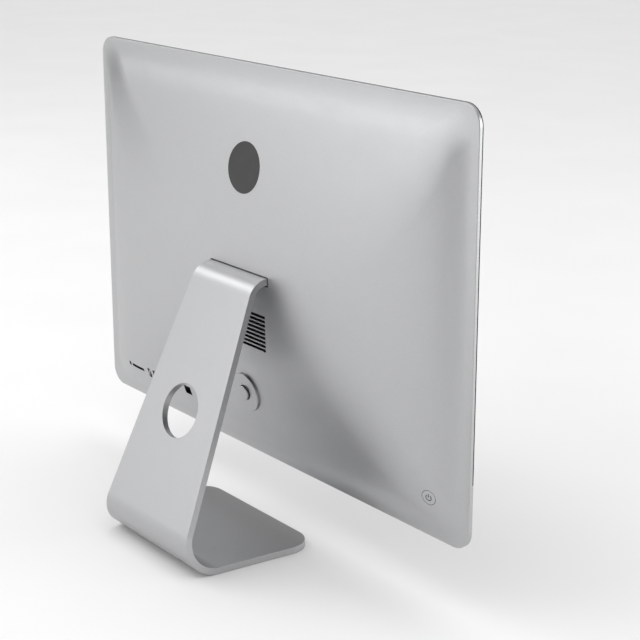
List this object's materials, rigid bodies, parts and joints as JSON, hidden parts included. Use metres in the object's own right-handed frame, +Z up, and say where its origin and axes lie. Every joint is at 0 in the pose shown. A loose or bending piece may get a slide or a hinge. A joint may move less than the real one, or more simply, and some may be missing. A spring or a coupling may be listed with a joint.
{
  "type": "all in one computer",
  "caption": "Thin desktop computer with a domed aluminium back, a tilting screen on a bent plate stand with a cable hole, ports, vents and a power button.",
  "frame": {"origin": "on the desk under the middle of the whole object's bounding box, with the stand's pad resting at Z = 0", "axes": "+Z up; the screen faces -Y; +X to the right as seen from the front, along the display's width"},
  "size_m": [0.65, 0.1717, 0.52],
  "materials": {
    "anodised_aluminium": "satin, bead blasted",
    "inlet_plastic": "matte",
    "badge_plastic": "satin",
    "foot_pad_rubber": "matte",
    "cover_glass": "polished",
    "gasket_foam": "matte",
    "panel": "matte black",
    "steel": "zinc plated",
    "port_steel": "bright",
    "brass_contact": "bright",
    "friction_lining": "matte",
    "board_green": "solder mask",
    "black_plastic": "matte",
    "sink_aluminium": "extruded",
    "processor_lid": "nickel plated"
  },
  "bodies": {
    "stand": {"stand_plate": "anodised_aluminium", "foot_pad": "foot_pad_rubber", "tilt_stop": "steel"},
    "display": {"antenna": "black_plastic", "badge_disc": "badge_plastic", "button_switch": "black_plastic", "camera_module": "board_green", "card_reader": "port_steel", "cradle_screws": "steel", "drive_tray": "steel", "drive_tray_screws": "steel", "fan_housing": "black_plastic", "fast_socket_1": "port_steel", "fast_socket_2": "port_steel", "friction_pads": "friction_lining", "front_glass": "cover_glass", "glass_gasket": "gasket_foam", "headphone_jack": "black_plastic", "heat_sink": "sink_aluminium", "inlet_cap": "inlet_plastic", "inlet_contacts": "brass_contact", "lcd_panel": "panel", "logic_board": "board_green", "logic_board_screws": "steel", "memory_module_1": "board_green", "memory_module_2": "board_green", "memory_module_3": "board_green", "memory_module_4": "board_green", "microphones": "black_plastic", "network_socket": "port_steel", "power_inlet": "inlet_plastic", "power_supply": "black_plastic", "power_supply_screws": "steel", "processor": "processor_lid", "rear_housing": "anodised_aluminium", "speaker_left": "black_plastic", "speaker_right": "black_plastic", "storage_drive": "sink_aluminium", "tilt_cradle": "steel", "usb_socket_1": "port_steel", "usb_socket_2": "port_steel", "usb_socket_3": "port_steel", "usb_socket_4": "port_steel", "vent_mesh": "black_plastic", "wireless_card": "board_green"},
    "power_button": {"power_button": "anodised_aluminium"},
    "fan": {"fan_rotor": "black_plastic"}
  },
  "joints": [
    {"name": "display_tilt", "type": "hinge", "parent": "stand", "child": "display", "pos_m": [0, -0.04354, 0.2742], "axis": [-1, 0, 0], "range_deg": [-5, 25]},
    {"name": "button_press", "type": "slide", "parent": "display", "child": "power_button", "axis": [0, -1, 0], "range_m": [0, 0.0012], "stiffness_N_per_m": 500},
    {"name": "fan_spin", "type": "hinge", "parent": "display", "child": "fan", "pos_m": [-0.098, -0.06475, 0.206], "axis": [0, 1, 0], "continuous": true}
  ]
}
